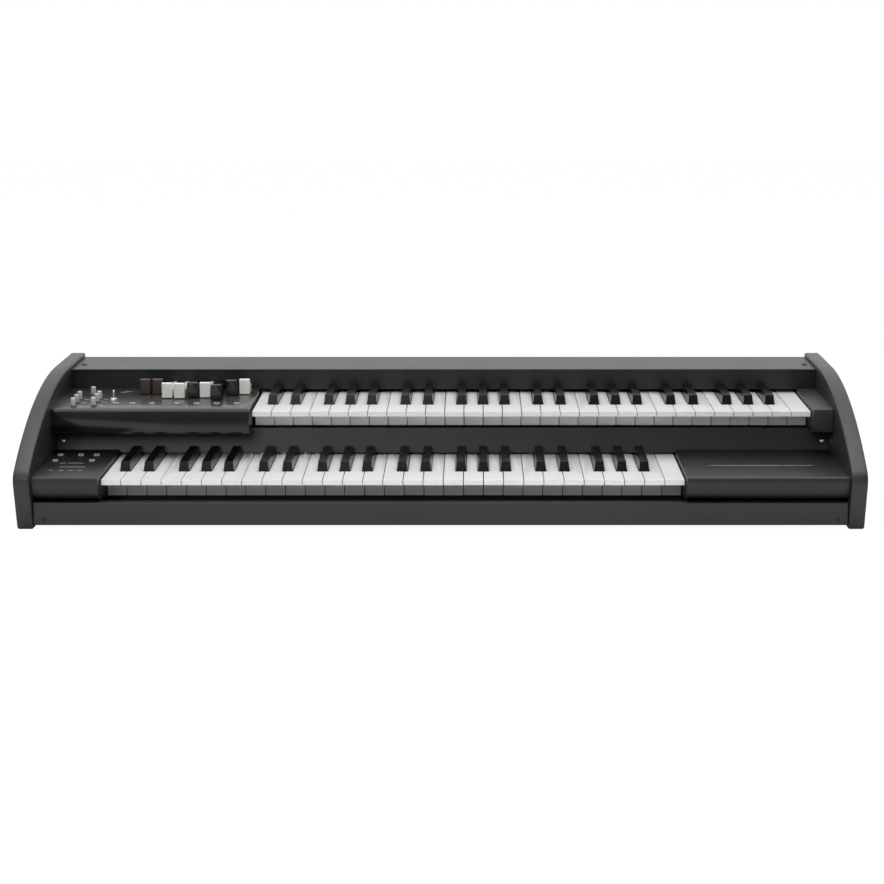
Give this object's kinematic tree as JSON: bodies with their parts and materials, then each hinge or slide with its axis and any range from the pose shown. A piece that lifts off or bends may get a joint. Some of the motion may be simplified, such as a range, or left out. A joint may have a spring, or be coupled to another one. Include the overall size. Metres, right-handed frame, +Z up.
{
  "type": "spinet organ",
  "caption": "Compact two-manual drawbar organ with offset keyboards, curved black end panels, drawbars, knobs, small buttons and sprung keys.",
  "frame": {"origin": "bottom centre of the whole instrument, on the surface it stands on", "axes": "+X along the keys to the player's right, +Y away from the player, +Z up"},
  "size_m": [0.988, 0.372, 0.1505],
  "materials": {
    "ivory_keys": "ivory white moulded keys",
    "black_keys": "black moulded keys",
    "black_satin": "satin black paint on board",
    "black_sheet": "fine black powder coat",
    "panel_grey": "satin dark grey coat",
    "zinc_steel": "zinc plated sheet",
    "unit_plastic": "dark moulded housing",
    "board_green": "circuit board",
    "cap_brown": "brown moulded cap",
    "cap_white": "white moulded cap",
    "cap_black": "black moulded cap",
    "knob_grey": "light grey plastic",
    "button_grey": "grey silicone",
    "bright_metal": "polished plating",
    "switch_black": "black plastic"
  },
  "bodies": {
    "case": {"left_end_panel": "black_satin", "right_end_panel": "black_satin", "base_board": "black_satin", "front_rail": "black_satin", "top_lid": "black_sheet", "middle_nameboard": "black_sheet", "upper_nameboard": "black_sheet", "back_panel": "black_satin", "socket_plate": "black_sheet", "lower_control_block": "black_sheet", "lower_cheek_block": "black_sheet", "upper_control_panel": "panel_grey", "upper_cheek_block": "black_satin", "lower_key_frame": "zinc_steel", "lower_contact_board": "board_green", "upper_key_frame": "zinc_steel", "upper_contact_board": "board_green", "control_board": "board_green", "main_board": "board_green", "drawbar_unit": "unit_plastic"},
    "lower_key_c3_body": {"lower_key_c3": "ivory_keys"},
    "lower_key_d3_body": {"lower_key_d3": "ivory_keys"},
    "lower_key_e3_body": {"lower_key_e3": "ivory_keys"},
    "lower_key_f3_body": {"lower_key_f3": "ivory_keys"},
    "lower_key_g3_body": {"lower_key_g3": "ivory_keys"},
    "lower_key_a3_body": {"lower_key_a3": "ivory_keys"},
    "lower_key_b3_body": {"lower_key_b3": "ivory_keys"},
    "lower_key_cs3_body": {"lower_key_cs3": "black_keys"},
    "lower_key_ds3_body": {"lower_key_ds3": "black_keys"},
    "lower_key_fs3_body": {"lower_key_fs3": "black_keys"},
    "lower_key_gs3_body": {"lower_key_gs3": "black_keys"},
    "lower_key_as3_body": {"lower_key_as3": "black_keys"},
    "lower_naturals_low_body": {"lower_naturals_low": "ivory_keys"},
    "lower_sharps_low_body": {"lower_sharps_low": "black_keys"},
    "lower_naturals_high_body": {"lower_naturals_high": "ivory_keys"},
    "lower_sharps_high_body": {"lower_sharps_high": "black_keys"},
    "upper_naturals_low_body": {"upper_naturals_low": "ivory_keys"},
    "upper_sharps_low_body": {"upper_sharps_low": "black_keys"},
    "upper_naturals_high_body": {"upper_naturals_high": "ivory_keys"},
    "upper_sharps_high_body": {"upper_sharps_high": "black_keys"},
    "drawbar_1_body": {"drawbar_1": "cap_brown"},
    "drawbar_2_body": {"drawbar_2": "cap_brown"},
    "drawbar_3_body": {"drawbar_3": "cap_white"},
    "drawbar_4_body": {"drawbar_4": "cap_white"},
    "drawbar_5_body": {"drawbar_5": "cap_black"},
    "drawbar_6_body": {"drawbar_6": "cap_white"},
    "drawbar_7_body": {"drawbar_7": "cap_black"},
    "drawbar_8_body": {"drawbar_8": "cap_black"},
    "drawbar_9_body": {"drawbar_9": "cap_white"},
    "knob_1_body": {"knob_1": "knob_grey"},
    "knob_2_body": {"knob_2": "knob_grey"},
    "knob_3_body": {"knob_3": "knob_grey"},
    "knob_4_body": {"knob_4": "knob_grey"},
    "knob_5_body": {"knob_5": "knob_grey"},
    "knob_6_body": {"knob_6": "knob_grey"},
    "knob_7_body": {"knob_7": "knob_grey"},
    "toggle_body": {"toggle_lever": "bright_metal"},
    "upper_buttons_body": {"upper_buttons": "button_grey"},
    "lower_buttons_body": {"lower_buttons": "button_grey"},
    "power_switch_body": {"power_switch": "switch_black"}
  },
  "joints": [
    {"name": "lower_key_c3_dip", "type": "hinge", "parent": "case", "child": "lower_key_c3_body", "pos_m": [0, 0.0386, 0.0503], "axis": [1, 0, 0], "range_deg": [0, 2.86], "stiffness_Nm_per_rad": 1.6, "springref_deg": -6.88},
    {"name": "lower_key_d3_dip", "type": "hinge", "parent": "case", "child": "lower_key_d3_body", "pos_m": [0, 0.0386, 0.0503], "axis": [1, 0, 0], "range_deg": [0, 2.86], "stiffness_Nm_per_rad": 1.6, "springref_deg": -6.88},
    {"name": "lower_key_e3_dip", "type": "hinge", "parent": "case", "child": "lower_key_e3_body", "pos_m": [0, 0.0386, 0.0503], "axis": [1, 0, 0], "range_deg": [0, 2.86], "stiffness_Nm_per_rad": 1.6, "springref_deg": -6.88},
    {"name": "lower_key_f3_dip", "type": "hinge", "parent": "case", "child": "lower_key_f3_body", "pos_m": [0, 0.0386, 0.0503], "axis": [1, 0, 0], "range_deg": [0, 2.86], "stiffness_Nm_per_rad": 1.6, "springref_deg": -6.88},
    {"name": "lower_key_g3_dip", "type": "hinge", "parent": "case", "child": "lower_key_g3_body", "pos_m": [0, 0.0386, 0.0503], "axis": [1, 0, 0], "range_deg": [0, 2.86], "stiffness_Nm_per_rad": 1.6, "springref_deg": -6.88},
    {"name": "lower_key_a3_dip", "type": "hinge", "parent": "case", "child": "lower_key_a3_body", "pos_m": [0, 0.0386, 0.0503], "axis": [1, 0, 0], "range_deg": [0, 2.86], "stiffness_Nm_per_rad": 1.6, "springref_deg": -6.88},
    {"name": "lower_key_b3_dip", "type": "hinge", "parent": "case", "child": "lower_key_b3_body", "pos_m": [0, 0.0386, 0.0503], "axis": [1, 0, 0], "range_deg": [0, 2.86], "stiffness_Nm_per_rad": 1.6, "springref_deg": -6.88},
    {"name": "lower_key_cs3_dip", "type": "hinge", "parent": "case", "child": "lower_key_cs3_body", "pos_m": [0, 0.0386, 0.0503], "axis": [1, 0, 0], "range_deg": [0, 2.86], "stiffness_Nm_per_rad": 1.6, "springref_deg": -6.88},
    {"name": "lower_key_ds3_dip", "type": "hinge", "parent": "case", "child": "lower_key_ds3_body", "pos_m": [0, 0.0386, 0.0503], "axis": [1, 0, 0], "range_deg": [0, 2.86], "stiffness_Nm_per_rad": 1.6, "springref_deg": -6.88},
    {"name": "lower_key_fs3_dip", "type": "hinge", "parent": "case", "child": "lower_key_fs3_body", "pos_m": [0, 0.0386, 0.0503], "axis": [1, 0, 0], "range_deg": [0, 2.86], "stiffness_Nm_per_rad": 1.6, "springref_deg": -6.88},
    {"name": "lower_key_gs3_dip", "type": "hinge", "parent": "case", "child": "lower_key_gs3_body", "pos_m": [0, 0.0386, 0.0503], "axis": [1, 0, 0], "range_deg": [0, 2.86], "stiffness_Nm_per_rad": 1.6, "springref_deg": -6.88},
    {"name": "lower_key_as3_dip", "type": "hinge", "parent": "case", "child": "lower_key_as3_body", "pos_m": [0, 0.0386, 0.0503], "axis": [1, 0, 0], "range_deg": [0, 2.86], "stiffness_Nm_per_rad": 1.6, "springref_deg": -6.88},
    {"name": "lower_naturals_low_dip", "type": "hinge", "parent": "case", "child": "lower_naturals_low_body", "pos_m": [0, 0.0386, 0.0503], "axis": [1, 0, 0], "range_deg": [0, 2.86], "stiffness_Nm_per_rad": 22.4, "springref_deg": -6.88},
    {"name": "lower_sharps_low_dip", "type": "hinge", "parent": "case", "child": "lower_sharps_low_body", "pos_m": [0, 0.0386, 0.0503], "axis": [1, 0, 0], "range_deg": [0, 2.86], "stiffness_Nm_per_rad": 16, "springref_deg": -6.88},
    {"name": "lower_naturals_high_dip", "type": "hinge", "parent": "case", "child": "lower_naturals_high_body", "pos_m": [0, 0.0386, 0.0503], "axis": [1, 0, 0], "range_deg": [0, 2.86], "stiffness_Nm_per_rad": 12.8, "springref_deg": -6.88},
    {"name": "lower_sharps_high_dip", "type": "hinge", "parent": "case", "child": "lower_sharps_high_body", "pos_m": [0, 0.0386, 0.0503], "axis": [1, 0, 0], "range_deg": [0, 2.86], "stiffness_Nm_per_rad": 8, "springref_deg": -6.88},
    {"name": "upper_naturals_low_dip", "type": "hinge", "parent": "case", "child": "upper_naturals_low_body", "pos_m": [0, 0.1615, 0.1078], "axis": [1, 0, 0], "range_deg": [0, 2.86], "stiffness_Nm_per_rad": 22.4, "springref_deg": -6.88},
    {"name": "upper_sharps_low_dip", "type": "hinge", "parent": "case", "child": "upper_sharps_low_body", "pos_m": [0, 0.1615, 0.1078], "axis": [1, 0, 0], "range_deg": [0, 2.86], "stiffness_Nm_per_rad": 16, "springref_deg": -6.88},
    {"name": "upper_naturals_high_dip", "type": "hinge", "parent": "case", "child": "upper_naturals_high_body", "pos_m": [0, 0.1615, 0.1078], "axis": [1, 0, 0], "range_deg": [0, 2.86], "stiffness_Nm_per_rad": 24, "springref_deg": -6.88},
    {"name": "upper_sharps_high_dip", "type": "hinge", "parent": "case", "child": "upper_sharps_high_body", "pos_m": [0, 0.1615, 0.1078], "axis": [1, 0, 0], "range_deg": [0, 2.86], "stiffness_Nm_per_rad": 16, "springref_deg": -6.88},
    {"name": "drawbar_1_pull", "type": "slide", "parent": "case", "child": "drawbar_1_body", "axis": [0, -1, 0], "range_m": [0, 0.04]},
    {"name": "drawbar_2_pull", "type": "slide", "parent": "case", "child": "drawbar_2_body", "axis": [0, -1, 0], "range_m": [0, 0.04]},
    {"name": "drawbar_3_pull", "type": "slide", "parent": "case", "child": "drawbar_3_body", "axis": [0, -1, 0], "range_m": [-0.0265, 0.0135]},
    {"name": "drawbar_4_pull", "type": "slide", "parent": "case", "child": "drawbar_4_body", "axis": [0, -1, 0], "range_m": [-0.029, 0.011]},
    {"name": "drawbar_5_pull", "type": "slide", "parent": "case", "child": "drawbar_5_body", "axis": [0, -1, 0], "range_m": [-0.0235, 0.0165]},
    {"name": "drawbar_6_pull", "type": "slide", "parent": "case", "child": "drawbar_6_body", "axis": [0, -1, 0], "range_m": [-0.0235, 0.0165]},
    {"name": "drawbar_7_pull", "type": "slide", "parent": "case", "child": "drawbar_7_body", "axis": [0, -1, 0], "range_m": [-0.0391, 0.0009]},
    {"name": "drawbar_8_pull", "type": "slide", "parent": "case", "child": "drawbar_8_body", "axis": [0, -1, 0], "range_m": [-0.0075, 0.0325]},
    {"name": "drawbar_9_pull", "type": "slide", "parent": "case", "child": "drawbar_9_body", "axis": [0, -1, 0], "range_m": [0, 0.04]},
    {"name": "knob_1_turn", "type": "hinge", "parent": "case", "child": "knob_1_body", "pos_m": [-0.451, -0.031, 0.1204], "axis": [0, 0, 1], "range_deg": [-150, 150]},
    {"name": "knob_2_turn", "type": "hinge", "parent": "case", "child": "knob_2_body", "pos_m": [-0.451, -0.008, 0.1204], "axis": [0, 0, 1], "range_deg": [-150, 150]},
    {"name": "knob_3_turn", "type": "hinge", "parent": "case", "child": "knob_3_body", "pos_m": [-0.451, 0.013, 0.1204], "axis": [0, 0, 1], "range_deg": [-150, 150]},
    {"name": "knob_4_turn", "type": "hinge", "parent": "case", "child": "knob_4_body", "pos_m": [-0.427, -0.027, 0.1204], "axis": [0, 0, 1], "range_deg": [-150, 150]},
    {"name": "knob_5_turn", "type": "hinge", "parent": "case", "child": "knob_5_body", "pos_m": [-0.427, -0.002, 0.1204], "axis": [0, 0, 1], "range_deg": [-150, 150]},
    {"name": "knob_6_turn", "type": "hinge", "parent": "case", "child": "knob_6_body", "pos_m": [-0.427, 0.015, 0.1204], "axis": [0, 0, 1], "range_deg": [-150, 150]},
    {"name": "knob_7_turn", "type": "hinge", "parent": "case", "child": "knob_7_body", "pos_m": [-0.44, 0.046, 0.1204], "axis": [0, 0, 1], "range_deg": [-150, 150]},
    {"name": "toggle_flip", "type": "hinge", "parent": "case", "child": "toggle_body", "pos_m": [-0.409, 0.012, 0.1189], "axis": [1, 0, 0], "range_deg": [0, 24]},
    {"name": "upper_buttons_press", "type": "slide", "parent": "case", "child": "upper_buttons_body", "axis": [0, 0, -1], "range_m": [0, 0.0008], "stiffness_N_per_m": 400, "springref_m": -0.002},
    {"name": "lower_buttons_press", "type": "slide", "parent": "case", "child": "lower_buttons_body", "axis": [0, 0, -1], "range_m": [0, 0.0008], "stiffness_N_per_m": 400, "springref_m": -0.002},
    {"name": "power_switch_rock", "type": "hinge", "parent": "case", "child": "power_switch_body", "pos_m": [0.262, 0.171, 0.06], "axis": [1, 0, 0], "range_deg": [0, 16]}
  ]
}
